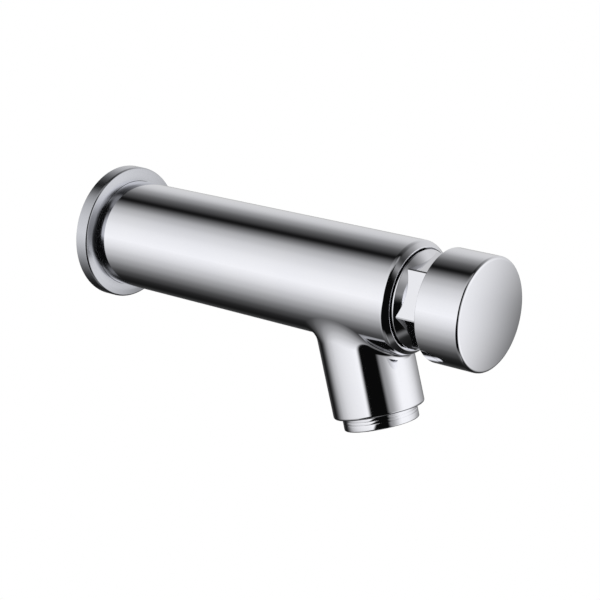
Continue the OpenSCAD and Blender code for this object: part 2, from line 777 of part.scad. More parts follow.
module gland_nut() {
    pocket_r = bush_r + slide_clear;
    slot_z = gland_front_z - gland_slot_depth;
    color("#b79a52") on_wall() difference() {
        between(gland_r, gland_back_z, gland_front_z);
        through(guide_r, gland_back_z, gland_front_z);
        between(pocket_r, gland_back_z - overcut, gland_pocket_z);
        difference() {
            translate([-gland_r - overcut, -gland_slot_w / 2, slot_z])
                cube([2 * (gland_r + overcut), gland_slot_w, gland_slot_depth + overcut]);
            through(pocket_r, slot_z, gland_front_z + overcut);
        }
    }
}

module gland_bush() {
    color("#efeee8") on_wall() ring(bush_r, guide_r, gland_back_z, bush_front_z);
}

module stem_o_ring() {
    color("#1f1f21") on_wall() round_ring(stem_r + ring_clear, stem_ring_d, stem_ring_z);
}

module push_button() {
    face_r = button_r - button_edge;
    dome_r = (pow(face_r, 2) + pow(button_dome, 2)) / (2 * button_dome);
    rise = asin(face_r / dome_r);
    color("#c9ccd4") on_wall() difference() {
        rotate_extrude() polygon(concat(
            [[0, button_z], [button_r - thin_edge, button_z], [button_r, button_z + thin_edge]],
            arc(face_r, button_rim_z - button_edge, button_edge, 0, 90 - rise, 6),
            arc(0, button_rim_z + button_dome - dome_r, dome_r, 90 - rise, 90, 10)));
        difference() {
            between(button_bore_r, button_z - overcut, button_floor_z);
            between(boss_d / 2, boss_z, button_floor_z + overcut);
        }
        between(stem_thread_r + slide_clear, boss_z - overcut, stem_end_z + stem_end_clear);
    }
}

module button_lock_nut() {
    color("#a9adb3") on_wall() nut(lock_nut_af, stem_thread_r + slide_clear, lock_nut_z, boss_z);
}

module aerator_housing() {
    color("#c6c9d1") on_spout() difference() {
        union() {
            between(aerator_thread_r, aerator_back_d, aerator_ring_back_d + overcut);
            rotate_extrude() polygon(concat(
                [[0, aerator_ring_back_d], [aerator_ring_r - thin_edge, aerator_ring_back_d],
                    [aerator_ring_r, aerator_ring_back_d + thin_edge]],
                arc(aerator_ring_r - aerator_edge, aerator_end_d - aerator_edge, aerator_edge, 0, 90, 5),
                [[0, aerator_end_d]]));
        }
        between(insert_r + slide_clear, aerator_back_d - overcut, aerator_lip_d);
        through(insert_r - aerator_lip, aerator_back_d, aerator_end_d);
    }
}

module aerator_washer() {
    color("#232325") on_spout()
        ring(aerator_thread_r, spout_bore / 2 - aerator_washer_overhang, ledge_d, ledge_d + aerator_washer_t);
}

// Cup with a ring of jets that mixes air into the water
module aerator_insert() {
    jet_front_d = aerator_back_d + jet_plate_t;
    color("#d9dadb") on_spout() difference() {
        between(insert_r, aerator_back_d, mesh_back_d);
        between(insert_r - insert_wall, jet_front_d, mesh_back_d + overcut);
        for (i = [1 : jets]) rotate([0, 0, 360 * i / jets]) translate([insert_r * jet_circle_share, 0, 0])
            through(jet_d / 2, aerator_back_d, jet_front_d, $fn = 24);
    }
}

module aerator_mesh() {
    reach = insert_r - mesh_rim;
    rows = floor(reach / mesh_pitch);
    hole_r = (mesh_pitch - mesh_web) / 2;
    color("#d5d6d8") on_spout() difference() {
        between(insert_r, mesh_back_d, aerator_lip_d);
        for (row = [-rows : rows], col = [-rows : rows])
            let(x = (col + (row % 2 == 0 ? 0 : 0.5)) * mesh_pitch, y = row * mesh_pitch * sin(60))
            if (norm([x, y]) + hole_r < reach)
                translate([x, y, mesh_back_d - overcut]) rotate([0, 0, 30])
                    cylinder(r = hole_r, h = mesh_t + 2 * overcut, $fn = 6);
    }
}

tap_body();
wall_flange();
wall_gasket();
flange_grip_ring();
inlet_nipple();
inlet_washer();
inlet_strainer();
cartridge_head();
collar_seal();
timing_cylinder();
guide_o_ring();
valve_cage();
nose_o_ring();
valve_seat();
valve_washer();
valve_disc();
valve_nut();
stem();
piston();
piston_lip_seal();
piston_circlip();
return_spring();
gland_nut();
gland_bush();
stem_o_ring();
push_button();
button_lock_nut();
aerator_housing();
aerator_washer();
aerator_insert();
aerator_mesh();
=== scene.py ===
"""Looks of a chromed wall-mounted push tap: dressed pieces, finishes, studio light and camera."""

import json
from math import atan2, cos, degrees, hypot, pi, radians, sin, sqrt, tan

import bmesh
import bpy
from mathutils import Matrix, Vector


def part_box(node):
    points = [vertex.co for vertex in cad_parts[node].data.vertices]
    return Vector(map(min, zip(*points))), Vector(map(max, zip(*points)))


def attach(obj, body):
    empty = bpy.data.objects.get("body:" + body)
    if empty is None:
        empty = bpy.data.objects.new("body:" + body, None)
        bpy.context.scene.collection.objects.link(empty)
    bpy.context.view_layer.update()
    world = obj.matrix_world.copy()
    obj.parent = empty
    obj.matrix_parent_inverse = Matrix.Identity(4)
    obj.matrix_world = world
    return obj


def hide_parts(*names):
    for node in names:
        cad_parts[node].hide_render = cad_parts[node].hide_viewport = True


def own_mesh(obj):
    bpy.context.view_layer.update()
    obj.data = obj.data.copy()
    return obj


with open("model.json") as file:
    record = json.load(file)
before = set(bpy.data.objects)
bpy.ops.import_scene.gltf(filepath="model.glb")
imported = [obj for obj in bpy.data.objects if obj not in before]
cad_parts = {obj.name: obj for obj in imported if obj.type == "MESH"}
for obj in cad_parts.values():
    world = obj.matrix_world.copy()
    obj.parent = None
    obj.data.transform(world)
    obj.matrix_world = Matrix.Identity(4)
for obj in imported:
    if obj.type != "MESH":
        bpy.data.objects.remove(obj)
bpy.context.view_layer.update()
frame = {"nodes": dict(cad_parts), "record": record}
SLOT_OF = {part["node"]: part["material_slot"] for part in frame["record"]["subparts"]}

# Sizes are in millimetres: r is a radius round the tap's axis, z a distance from the wall along that axis
MM = 0.001
FINE_EDGE = 0.3
THREAD_GAP = 0.1
BODY_R = 20
BACK_Z = 1.2
LIP_Z = 140.4
LIP_R = 18.1
LIP_START_Z = 138.45
LIP_ROOM = 0.9
CHAMBER_R = 16.2
COLLAR_R = 17.303
COLLAR_Z = 141.8
COLLAR_GAP = 0.5
HEX_FLAT = 14.5
HEX_R = HEX_FLAT / cos(radians(30))
HEX_Z = 154
HEX_BEVEL_RUN = 2
SHOULDER_SLOPE = tan(radians(42))
INLET_R = 10.4775

# The spout leans towards the front; its depths are measured along its own axis from the tap's axis
SPOUT_R = 16.25
SPOUT_LEAN = radians(17)
SPOUT_Z = 111.5
SPOUT_END = 45.6
SPOUT_EDGE = 1
SOCKET_R = 12
LEDGE = 33.5
BORE_R = 9

# Smoothness of the turned pieces
COLUMNS = 180
ROUND_STEPS = 5
SHARP_TURN = cos(radians(32))
WELD = 0.0005
WALL_MARGIN = 0.1

# From a piece's own axis to the room: along the tap's axis, and along the leaning spout
ON_WALL = Matrix.Scale(MM, 4) @ Matrix.Rotation(radians(90), 4, "X")
ON_SPOUT = ON_WALL @ Matrix.Translation((0, 0, SPOUT_Z)) @ Matrix.Rotation(radians(90) - SPOUT_LEAN, 4, "X")


# Modelling helpers

def draw_outline(bm, corners, closed=True):
    """Draws half the section of a turned piece from (radius, station, rounding) corners."""
    marks = [bm.verts.new((radius, 0, station)) for radius, station, _ in corners]
    nexts = marks[1:] + marks[:1] if closed else marks[1:]
    for start, end in zip(marks, nexts):
        bm.edges.new((start, end))
    for mark, (_, _, rounding) in zip(marks, corners):
        if rounding:
            bmesh.ops.bevel(bm, geom=[mark], offset=rounding, offset_type="OFFSET", segments=ROUND_STEPS,
                            profile=0.5, affect="VERTICES", material=-1)


def rows_between(radius, start_z, end_z, rows):
    """Corners at even steps along a straight wall, which give it rows of faces."""
    return [(radius, start_z + (end_z - start_z) * i / rows, 0) for i in range(rows + 1)]


def spin_round(bm):
    """Turns everything drawn so far once round the Z axis."""
    bmesh.ops.spin(bm, geom=bm.verts[:] + bm.edges[:], cent=(0, 0, 0), axis=(0, 0, 1), angle=2 * pi,
                   steps=COLUMNS, use_merge=True)
    weld(bm)


def wind_up(bm, section, pitch, steps, turn_steps):
    """Sweeps a closed section up a helix round the Z axis and closes both ends."""
    bmesh.ops.spin(bm, geom=section, cent=(0, 0, 0), axis=(0, 0, 1), dvec=(0, 0, pitch / turn_steps),
                   angle=2 * pi * steps / turn_steps, steps=steps, use_merge=False, use_duplicate=False)
    open_edges = [e for e in bm.edges if e.is_boundary]
    bmesh.ops.holes_fill(bm, edges=open_edges, sides=len(section) // 2)


def weld(bm):
    """Merges doubled points, such as those of a pole."""
    bmesh.ops.remove_doubles(bm, verts=bm.verts, dist=WELD)


def face_outwards(bm):
    bmesh.ops.recalc_face_normals(bm, faces=bm.faces)


def sideways(point):
    """Unit vector from the Z axis to a point."""
    return Vector((point.x, point.y, 0)).normalized()


def shading_normals(bm, facing):
    """Normal of every face corner: the exact one if it is known, or that of the faces that turn gently."""
    weighted = {face: face.normal * face.calc_area() for face in bm.faces}
    normals = []
    for face in bm.faces:
        gentle = lambda other: other.dot(face.normal) > SHARP_TURN
        for vert in face.verts:
            known = vert[facing] if facing else Vector()
            if known.length and gentle(known):
                normals.append(known.copy())
            else:
                normals.append(sum((weighted[f] for f in vert.link_faces if gentle(f.normal)), Vector()))
    return normals


def mesh_from(bm, name):
    """Turns a modelled shape into a named mesh."""
    mesh = bpy.data.meshes.new(name)
    bm.to_mesh(mesh)
    bm.free()
    return mesh


def add_object(name, data):
    """Makes an object at the origin and puts it in the scene."""
    made = bpy.data.objects.new(name, data)
    bpy.context.scene.collection.objects.link(made)
    return made


def finish_piece(bm, name, place, body, node, facing=None, finish=None):
    """Puts a piece in its CAD node's place, on its body, in its slot's finish or one of its own."""
    face_outwards(bm)
    normals = shading_normals(bm, facing)
    for layers in (bm.verts.layers.float, bm.verts.layers.float_vector):
        for layer in layers.values():
            layers.remove(layer)
    bm.transform(place)
    turn = place.to_3x3()
    mesh = mesh_from(bm, name)
    mesh.shade_smooth()
    mesh.normals_split_custom_set([(turn @ normal).normalized() for normal in normals])
    mesh.materials.append(finish or FINISH_OF_SLOT[SLOT_OF[node]])
    piece = add_object(name, mesh)
    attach(piece, body)
    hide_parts(node)
    return piece


# Body: a turned tube, opened below for the spout, with a fillet that is widest at the sides

# Radii of the fillet; the bias moves its widest place towards the wall, and the focus narrows that place
FILLET_FRONT = 2
FILLET_SIDE = 17
FILLET_BACK = 3
FILLET_BIAS = 0.9
FILLET_FOCUS = 6
FILLET_STEPS = 14

# Openings cut for the spout: in the tube's outside, and for its bore in the chamber's wall
OPENING_COLUMNS = 68
OPENING_ROWS = 30
OPENING_BACK_Z = 88
OPENING_FRONT_Z = LIP_START_Z - LIP_ROOM
LOOP_POINTS = 2 * OPENING_COLUMNS + 2 * OPENING_ROWS
BORE_COLUMNS = 60
BORE_ROWS = (LOOP_POINTS - 2 * BORE_COLUMNS) // 2
BORE_BACK_Z = 92
BORE_FRONT_Z = 126.1
BRIDGE_CUTS = 6
SPOUT_EDGE_STEPS = 7


def spout_side(turn):
    """Unit vector out of the spout's axis: turn 0 faces the front, half a turn faces the wall."""
    return Vector((sin(turn), cos(turn) * sin(SPOUT_LEAN), cos(turn) * cos(SPOUT_LEAN)))


def spout_down(depth):
    """Point of the spout's axis at a depth below the tap's own axis."""
    return Vector((0, -depth * cos(SPOUT_LEAN), SPOUT_Z + depth * sin(SPOUT_LEAN)))


def spout_ring(turn, radius, depth, tilt=0):
    """Point and normal of a ring round the spout; tilt turns the normal from sideways to downwards."""
    down = spout_down(1) - spout_down(0)
    return spout_down(depth) + radius * spout_side(turn), cos(tilt) * spout_side(turn) + sin(tilt) * down


def rolling_ball(turn, tube_r, spout_r, ball_r):
    """Centre of a ball that touches the tube and the spout from outside."""
    reach = spout_r + ball_r
    x = reach * sin(turn)
    y = -sqrt((tube_r + ball_r) ** 2 - x ** 2)
    depth = (reach * cos(turn) * sin(SPOUT_LEAN) - y) / cos(SPOUT_LEAN)
    return spout_down(depth) + reach * spout_side(turn)


def fillet(turn, share):
    """Point and normal of the fillet, from the tube at share 0 to the spout at share 1."""
    beside = sin(turn) ** FILLET_FOCUS * (1 - FILLET_BIAS * cos(turn))
    ball_r = FILLET_FRONT + (FILLET_BACK - FILLET_FRONT) * (1 - cos(turn)) / 2 + FILLET_SIDE * beside
    centre = rolling_ball(turn, BODY_R, SPOUT_R, ball_r)
    normal = sideways(centre).slerp(spout_side(turn), share)
    return centre - ball_r * normal, normal


def cut_opening(bm, radius, columns, low_z, high_z):
    """Opens the underside of a round wall between two stations and returns the edges round the opening."""
    half_angle = columns / 2 * 360 / COLUMNS
    on_wall = lambda point: abs(hypot(point.x, point.y) - radius) < WALL_MARGIN
    middle = {face: face.calc_center_median() for face in bm.faces}
    taken = [f for f, m in middle.items() if on_wall(m) and low_z < m.z < high_z
             and abs(degrees(atan2(m.x, -m.y))) < half_angle]
    bmesh.ops.delete(bm, geom=taken, context="FACES")
    return [e for e in bm.edges if e.is_boundary and all(on_wall(v.co) for v in e.verts)]


def place_loop(verts, turn, facing, shape):
    """Puts the points of a loop, and their exact normals, where the shape says for their turn."""
    for vert in verts:
        vert.co, vert[facing] = shape(vert[turn])


def grow_loop(bm, edges, turn, facing, shape):
    """Extrudes a loop and puts its new points where the shape says."""
    grown = bmesh.ops.extrude_edge_only(bm, edges=edges)["geom"]
    verts = [g for g in grown if isinstance(g, bmesh.types.BMVert)]
    place_loop(verts, turn, facing, shape)
    ends = set(verts)
    return [g for g in grown if isinstance(g, bmesh.types.BMEdge) and ends.issuperset(g.verts)]


def join_to_wall(bm, opening, loop, radius, facing, inwards=1):
    """Joins a loop that lies on a round wall to the opening cut in that wall."""
    bridge = bmesh.ops.bridge_loops(bm, edges=opening + loop)
    cuts = bmesh.ops.subdivide_edges(bm, edges=bridge["edges"], cuts=BRIDGE_CUTS, use_grid_fill=True)
    rims = [v for e in opening + loop for v in e.verts]
    for vert in [g for g in cuts["geom_inner"] if isinstance(g, bmesh.types.BMVert)] + rims:
        side = sideways(vert.co)
        vert.co = radius * side + Vector((0, 0, vert.co.z))
        vert[facing] = inwards * side


def turn_tube(bm):
    """Turns the body without its spout: lip, grip groove, cartridge chamber and inlet socket."""
    lip_rounding, lip_inner_rounding = 0.85, 0.12
    groove_floor_r, groove_back_z, groove_front_z = 18.74, 4.55, 6.05
    counterbore_r, counterbore_z = COLLAR_R + COLLAR_GAP, 136
    head_bore_r, thread_z = 15.05, 126.5
    bulkhead_z, bulkhead_ledge, nose_r, cage_z = 89.9, 1, 10.55, 80
    inlet_chamber_z, chamber_bevel, neck_r = 22.1, 3, 7.8
    socket_r, socket_floor_z, socket_bevel = INLET_R + THREAD_GAP, 19.1, 1
    draw_outline(bm, [
        (BODY_R, BACK_Z, FINE_EDGE), (BODY_R, groove_back_z, 0), (groove_floor_r, groove_back_z, 0),
        (groove_floor_r, groove_front_z, 0), (BODY_R, groove_front_z, 0),
        *rows_between(BODY_R, OPENING_BACK_Z, OPENING_FRONT_Z, OPENING_ROWS),
        (BODY_R, LIP_START_Z, lip_rounding), (LIP_R, LIP_Z, lip_inner_rounding),
        (counterbore_r, LIP_Z, 0), (counterbore_r, counterbore_z, 0), (head_bore_r, counterbore_z, 0),
        (head_bore_r, thread_z, 0), *rows_between(CHAMBER_R, BORE_FRONT_Z, BORE_BACK_Z, BORE_ROWS),
        (CHAMBER_R - bulkhead_ledge, bulkhead_z, 0), (nose_r, bulkhead_z, 0), (nose_r, cage_z, 0),
        (CHAMBER_R - chamber_bevel, cage_z, 0), (CHAMBER_R, cage_z - chamber_bevel, 0),
        (CHAMBER_R, inlet_chamber_z + chamber_bevel, 0), (CHAMBER_R - chamber_bevel, inlet_chamber_z, 0),
        (neck_r, inlet_chamber_z, 0), (neck_r, socket_floor_z, 0), (socket_r, socket_floor_z, 0),
        (socket_r, BACK_Z + socket_bevel, 0), (socket_r + socket_bevel, BACK_Z, 0)])
    spin_round(bm)


def grow_spout(bm, turn, facing):
    """Grows the spout over its fillet, round its end and up its bore; returns its loops on both walls."""
    circle = bmesh.ops.create_circle(bm, segments=LOOP_POINTS, radius=BODY_R)["verts"]
    for i, vert in enumerate(circle):
        vert[turn] = 2 * pi * i / LOOP_POINTS
    place_loop(circle, turn, facing, lambda t: fillet(t, 0))
    on_circle = set(circle)
    tube_loop = [e for e in bm.edges if on_circle.issuperset(e.verts)]
    loop = tube_loop
    for step in range(1, FILLET_STEPS + 1):
        loop = grow_loop(bm, loop, turn, facing, lambda t: fillet(t, step / FILLET_STEPS))
    for step in range(SPOUT_EDGE_STEPS + 1):
        tilt = pi / 2 * step / SPOUT_EDGE_STEPS
        ring_r = SPOUT_R - SPOUT_EDGE * (1 - cos(tilt))
        depth = SPOUT_END - SPOUT_EDGE * (1 - sin(tilt))
        loop = grow_loop(bm, loop, turn, facing, lambda t: spout_ring(t, ring_r, depth, tilt))
    # Inside the spout a normal of no length leaves the shading to the faces
    for ring_r, depth in ((SOCKET_R, SPOUT_END), (SOCKET_R, LEDGE), (BORE_R, LEDGE)):
        loop = grow_loop(bm, loop, turn, facing, lambda t: (spout_ring(t, ring_r, depth)[0], Vector()))
    bore_top = lambda t: (rolling_ball(t, CHAMBER_R, BORE_R, 0), Vector())
    return tube_loop, grow_loop(bm, loop, turn, facing, bore_top)


def tap_body():
    bm = bmesh.new()
    turn = bm.verts.layers.float.new("turn")
    facing = bm.verts.layers.float_vector.new("facing")
    turn_tube(bm)
    outside = cut_opening(bm, BODY_R, OPENING_COLUMNS, OPENING_BACK_Z, OPENING_FRONT_Z)
    inside = cut_opening(bm, CHAMBER_R, BORE_COLUMNS, BORE_BACK_Z, BORE_FRONT_Z)
    tube_loop, bore_loop = grow_spout(bm, turn, facing)
    join_to_wall(bm, outside, tube_loop, BODY_R, facing)
    join_to_wall(bm, inside, bore_loop, CHAMBER_R, facing, inwards=-1)
    finish_piece(bm, "tap_body_shell", ON_WALL, "tap", "tap_body", facing)


# Flange, hexagon head, button, aerator ring, inlet and spring

def wall_flange():
    flange_r, flange_t, edge, slope = 25.05, 6.4, 0.7, tan(radians(13.5))
    hollow_r, bore_r, floor_z = 22.85, 20.1, 4.2
    level_r, level_rounding = 21.6, 1
    level_z = flange_t - (level_r - bore_r) * slope
    rim_z = level_z - (flange_r - level_r) * slope
    bm = bmesh.new()
    draw_outline(bm, [
        (hollow_r, 0, 0), (flange_r, 0, FINE_EDGE), (flange_r, rim_z, edge),
        (level_r, level_z, level_rounding), (bore_r, level_z, 0), (bore_r, floor_z, 0),
        (hollow_r, floor_z, 0)])
    spin_round(bm)
    finish_piece(bm, "wall_flange_cover", ON_WALL, "tap", "wall_flange", finish=satin_chrome())


def hexagon(bm, low_z, high_z, bevel_r):
    """Moves the rings at the corner radius onto six flats, where cones cut them below and above."""
    corner_turn, flat_turn = 9, 60
    for vert in bm.verts:
        radius, station = hypot(vert.co.x, vert.co.y), vert.co.z
        if station < low_z - WELD or radius < bevel_r - WELD:
            continue
        off_middle = (degrees(atan2(vert.co.y, vert.co.x)) - corner_turn) % flat_turn - flat_turn / 2
        flat_r = HEX_FLAT / cos(radians(off_middle))
        if radius < HEX_R - WALL_MARGIN:
            flat_r = min(bevel_r, flat_r)
        elif station < high_z - WELD:
            station = low_z + (HEX_R - flat_r) * SHOULDER_SLOPE
        else:
            station = HEX_Z - max(0, flat_r - bevel_r) / HEX_BEVEL_RUN
        vert.co = flat_r * sideways(vert.co) + Vector((0, 0, station))


def soften_edges(bm, least_z, width):
    """Rounds the sharp edges in front of a station."""
    least_turn = radians(20)
    sharp = [e for e in bm.edges if len(e.link_faces) == 2 and e.calc_face_angle() > least_turn
             and min(v.co.z for v in e.verts) > least_z]
    bmesh.ops.bevel(bm, geom=sharp, offset=width, offset_type="OFFSET", segments=3, profile=0.5,
                    affect="EDGES", clamp_overlap=True, material=-1)


def cartridge_head():
    back_z, thread_r = 122, 14.95
    collar_back_z, collar_edge = 137, 0.12
    collar_front_z = COLLAR_Z - (COLLAR_R - HEX_R) * SHOULDER_SLOPE
    cylinder_bore_r, cylinder_front_z = 12.55, 135
    throat_r, gland_r, gland_z = 10.2, 10.5, 138
    bevel = 0.9
    bevel_r = HEX_R - HEX_BEVEL_RUN * bevel
    soft_from_z, soft_edge = COLLAR_Z - 0.2, 0.14
    bm = bmesh.new()
    draw_outline(bm, [
        (thread_r, back_z, 0), (thread_r, collar_back_z, 0), (COLLAR_R, collar_back_z, FINE_EDGE),
        (COLLAR_R, collar_front_z, collar_edge), (HEX_R, COLLAR_Z, 0), (HEX_R, HEX_Z - bevel, 0),
        (bevel_r, HEX_Z, 0), (gland_r, HEX_Z, 0), (gland_r, gland_z, 0), (throat_r, gland_z, 0),
        (throat_r, cylinder_front_z, 0), (cylinder_bore_r, cylinder_front_z, 0),
        (cylinder_bore_r, back_z, 0)])
    spin_round(bm)
    hexagon(bm, COLLAR_Z, HEX_Z - bevel, bevel_r)
    weld(bm)
    face_outwards(bm)
    soften_edges(bm, soft_from_z, soft_edge)
    finish_piece(bm, "hexagon_head", ON_WALL, "tap", "cartridge_head")


def push_button():
    back_z, rim_z, button_r, edge = 151.6, 168.7, 19.82, 1.2
    bore_r, bore_edge, floor_z = 17.293, 0.2, 163.6
    boss_r, boss_z, stem_r, stem_end_z = 6.6, 161.5, 3.95, 167.4
    dome, dome_rings = 1.4, 24
    face_r = button_r - edge
    dome_r = (face_r ** 2 + dome ** 2) / (2 * dome)
    face = [face_r * (1 - i / dome_rings) for i in range(dome_rings + 1)]
    bm = bmesh.new()
    draw_outline(bm, [
        (0, stem_end_z, 0), (stem_r, stem_end_z, 0), (stem_r, boss_z, 0), (boss_r, boss_z, 0),
        (boss_r, floor_z, 0), (bore_r, floor_z, 0), (bore_r, back_z, bore_edge),
        (button_r, back_z, FINE_EDGE), (button_r, rim_z, edge),
        *[(r, rim_z + dome - dome_r + sqrt(dome_r ** 2 - r ** 2), 0) for r in face]], closed=False)
    spin_round(bm)
    finish_piece(bm, "button_cap", ON_WALL, "plunger", "push_button")


def aerator_ring():
    thread_r, back, ring_back, end = 11.9, 35.6, 45.7, 50.3
    ring_r, edge, bore_r = 13.4, 0.5, 10.05
    lip_r, lip_back, lip_edge = 9.2, 49.3, 0.15
    groove_stations, groove_w, groove_depth = (46.9, 48), 0.3, 0.07
    bm = bmesh.new()
    draw_outline(bm, [
        (thread_r, back, FINE_EDGE), (thread_r, ring_back, 0), (ring_r, ring_back, FINE_EDGE),
        *[corner for station in groove_stations for corner in (
            (ring_r, station - groove_w / 2, 0), (ring_r - groove_depth, station, 0),
            (ring_r, station + groove_w / 2, 0))],
        (ring_r, end, edge), (lip_r, end, lip_edge), (lip_r, lip_back, 0), (bore_r, lip_back, 0),
        (bore_r, back, 0)])
    spin_round(bm)
    finish_piece(bm, "aerator_ring", ON_SPOUT, "tap", "aerator_housing")


def wind_thread(bm, root_r, start_z, end_z):
    """Winds a pointed ridge round a core, sunk into it a little and run out at both ends."""
    pitch, turn_steps, sink = 1.814, 60, 0.1
    half_foot, half_crest = 0.86, 0.13
    sunk_r = root_r - sink
    profile = [(sunk_r, -half_foot), (INLET_R, -half_crest), (INLET_R, half_crest), (sunk_r, half_foot)]
    core = set(bm.verts)
    corners = [bm.verts.new((radius, 0, start_z + half_foot + off)) for radius, off in profile]
    sides = [bm.edges.new((corners[i - 1], corner)) for i, corner in enumerate(corners)]
    turns = (end_z - start_z - 2 * half_foot) / pitch
    wind_up(bm, corners + sides, pitch, round(turns * turn_steps), turn_steps)
    for vert in set(bm.verts) - core:
        height = hypot(vert.co.x, vert.co.y) - sunk_r
        share = min(1, (vert.co.z - start_z) / pitch, (end_z - vert.co.z) / pitch)
        vert.co = (sunk_r + height * max(0, share)) * sideways(vert.co) + Vector((0, 0, vert.co.z))


def inlet_nipple():
    out, end_z, bevel, bore_r = 15, 17, 1, 7.2
    root_r, relief_end_z, relief_edge = 9.3775, 2.08, 0.2
    thread_start_z, thread_end_z = 0.4 - out, 0.48
    bm = bmesh.new()
    draw_outline(bm, [
        (bore_r, -out, FINE_EDGE), (root_r, -out, FINE_EDGE), (root_r, relief_end_z, relief_edge),
        (INLET_R, relief_end_z, 0), (INLET_R, end_z - bevel, 0), (INLET_R - bevel, end_z, 0),
        (bore_r, end_z, FINE_EDGE)])
    spin_round(bm)
    wind_thread(bm, root_r, thread_start_z, thread_end_z)
    finish_piece(bm, "threaded_inlet", ON_WALL, "tap", "inlet_nipple")


def return_spring():
    """Round wire between the cylinder floor and the piston, wound at the length of its CAD part."""
    wire_r, coil_r, turns, turn_steps, wire_sides = 0.7, 7.4, 6, 40, 12
    low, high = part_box("return_spring")
    start_z, end_z = -high[1] / MM + wire_r, -low[1] / MM - wire_r
    wire_start = Matrix.Translation((coil_r, 0, start_z)) @ Matrix.Rotation(radians(90), 4, "X")
    bm = bmesh.new()
    bmesh.ops.create_circle(bm, cap_ends=False, segments=wire_sides, radius=wire_r, matrix=wire_start)
    wind_up(bm, bm.verts[:] + bm.edges[:], (end_z - start_z) / turns, turns * turn_steps, turn_steps)
    piece = finish_piece(bm, "coil_spring", ON_WALL, "tap", "return_spring")
    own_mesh(piece)


# Finishes

def node_link(tree, start, end):
    tree.links.new(start, end)


def new_node(tree, kind, **settings):
    """Adds a node with its settings and returns it."""
    node = tree.nodes.new(kind)
    for name, value in settings.items():
        setattr(node, name, value)
    return node


def new_group(name, inputs, outputs):
    """A node group with named values in and out; returns it with its two end nodes."""
    tree = bpy.data.node_groups.new(name, "ShaderNodeTree")
    for in_out, names in (("INPUT", inputs), ("OUTPUT", outputs)):
        for socket in names:
            tree.interface.new_socket(name=socket, in_out=in_out, socket_type="NodeSocketFloat")
    return tree, new_node(tree, "NodeGroupInput"), new_node(tree, "NodeGroupOutput")


def surface_marks():
    """Group of slow and fine clouding over a piece: a roughness between two limits, and a tone mask."""
    tree, given, result = new_group("surface_marks", ("Scale", "Least", "Most"), ("Roughness", "Tone"))
    place = new_node(tree, "ShaderNodeTexCoord")
    cloud = new_node(tree, "ShaderNodeTexNoise")
    cloud.inputs["Detail"].default_value = 5
    spread = new_node(tree, "ShaderNodeMapRange")
    spread.inputs["From Min"].default_value = 0.3
    spread.inputs["From Max"].default_value = 0.7
    node_link(tree, place.outputs["Object"], cloud.inputs["Vector"])
    node_link(tree, given.outputs["Scale"], cloud.inputs["Scale"])
    node_link(tree, cloud.outputs["Fac"], spread.inputs["Value"])
    node_link(tree, given.outputs["Least"], spread.inputs["To Min"])
    node_link(tree, given.outputs["Most"], spread.inputs["To Max"])
    node_link(tree, spread.outputs["Result"], result.inputs["Roughness"])
    node_link(tree, cloud.outputs["Fac"], result.inputs["Tone"])
    return tree


def height_group(name, kind, fixed, **settings):
    """Group of one pattern on a piece's own coordinates: its height, at a scale set in each material."""
    tree, given, result = new_group(name, ("Scale",), ("Height",))
    place = new_node(tree, "ShaderNodeTexCoord")
    pattern = new_node(tree, kind, **settings)
    for socket, value in fixed.items():
        pattern.inputs[socket].default_value = value
    node_link(tree, place.outputs["Object"], pattern.inputs["Vector"])
    node_link(tree, given.outputs["Scale"], pattern.inputs["Scale"])
    node_link(tree, pattern.outputs["Fac"], result.inputs["Height"])
    return tree


def turning_lines():
    """Fine tool lines round the tap's axis, as a lathe leaves them."""
    return height_group("turning_lines", "ShaderNodeTexWave", {"Distortion": 1.5}, wave_type="BANDS",
                        bands_direction="Y")


def fine_grain():
    """Grain of a moulded or pressed surface."""
    return height_group("fine_grain", "ShaderNodeTexNoise", {"Detail": 6})


def new_finish(name, metallic, tones, roughness, scale):
    """A material whose colour and roughness change over the piece."""
    material = bpy.data.materials.new(name)
    material.use_nodes = True
    tree = material.node_tree
    shader = tree.nodes["Principled BSDF"]
    shader.inputs["Metallic"].default_value = metallic
    marks = new_node(tree, "ShaderNodeGroup", node_tree=SURFACE_MARKS)
    marks.inputs["Scale"].default_value = scale
    marks.inputs["Least"].default_value, marks.inputs["Most"].default_value = roughness
    ramp = new_node(tree, "ShaderNodeValToRGB")
    for stop, position, tone in zip(ramp.color_ramp.elements, (0.35, 0.65), tones):
        stop.position = position
        stop.color = (*tone, 1)
    node_link(tree, marks.outputs["Tone"], ramp.inputs["Fac"])
    node_link(tree, ramp.outputs["Color"], shader.inputs["Base Color"])
    node_link(tree, marks.outputs["Roughness"], shader.inputs["Roughness"])
    return material


def add_relief(material, pattern, scale, strength, depth):
    """Raises a pattern out of a material by bump; depth is in millimetres."""
    tree = material.node_tree
    relief = new_node(tree, "ShaderNodeGroup", node_tree=pattern)
    relief.inputs["Scale"].default_value = scale
    bump = new_node(tree, "ShaderNodeBump")
    bump.inputs["Strength"].default_value = strength
    bump.inputs["Distance"].default_value = depth * MM
    node_link(tree, relief.outputs["Height"], bump.inputs["Height"])
    node_link(tree, bump.outputs["Normal"], tree.nodes["Principled BSDF"].inputs["Normal"])


def add_turning_lines(material, spacing, strength):
    add_relief(material, TURNING_LINES, 1 / (spacing * MM), strength, depth=0.02)


def add_grain(material, scale, strength):
    add_relief(material, FINE_GRAIN, scale, strength, depth=0.05)


def polished_chrome():
    return new_finish("polished_chrome", metallic=1, tones=((0.885, 0.892, 0.940), (0.905, 0.910, 0.950)),
                      roughness=(0.035, 0.065), scale=45)


def satin_chrome():
    return new_finish("satin_chrome", metallic=1, tones=((0.60, 0.61, 0.65), (0.63, 0.64, 0.68)),
                      roughness=(0.16, 0.21), scale=45)


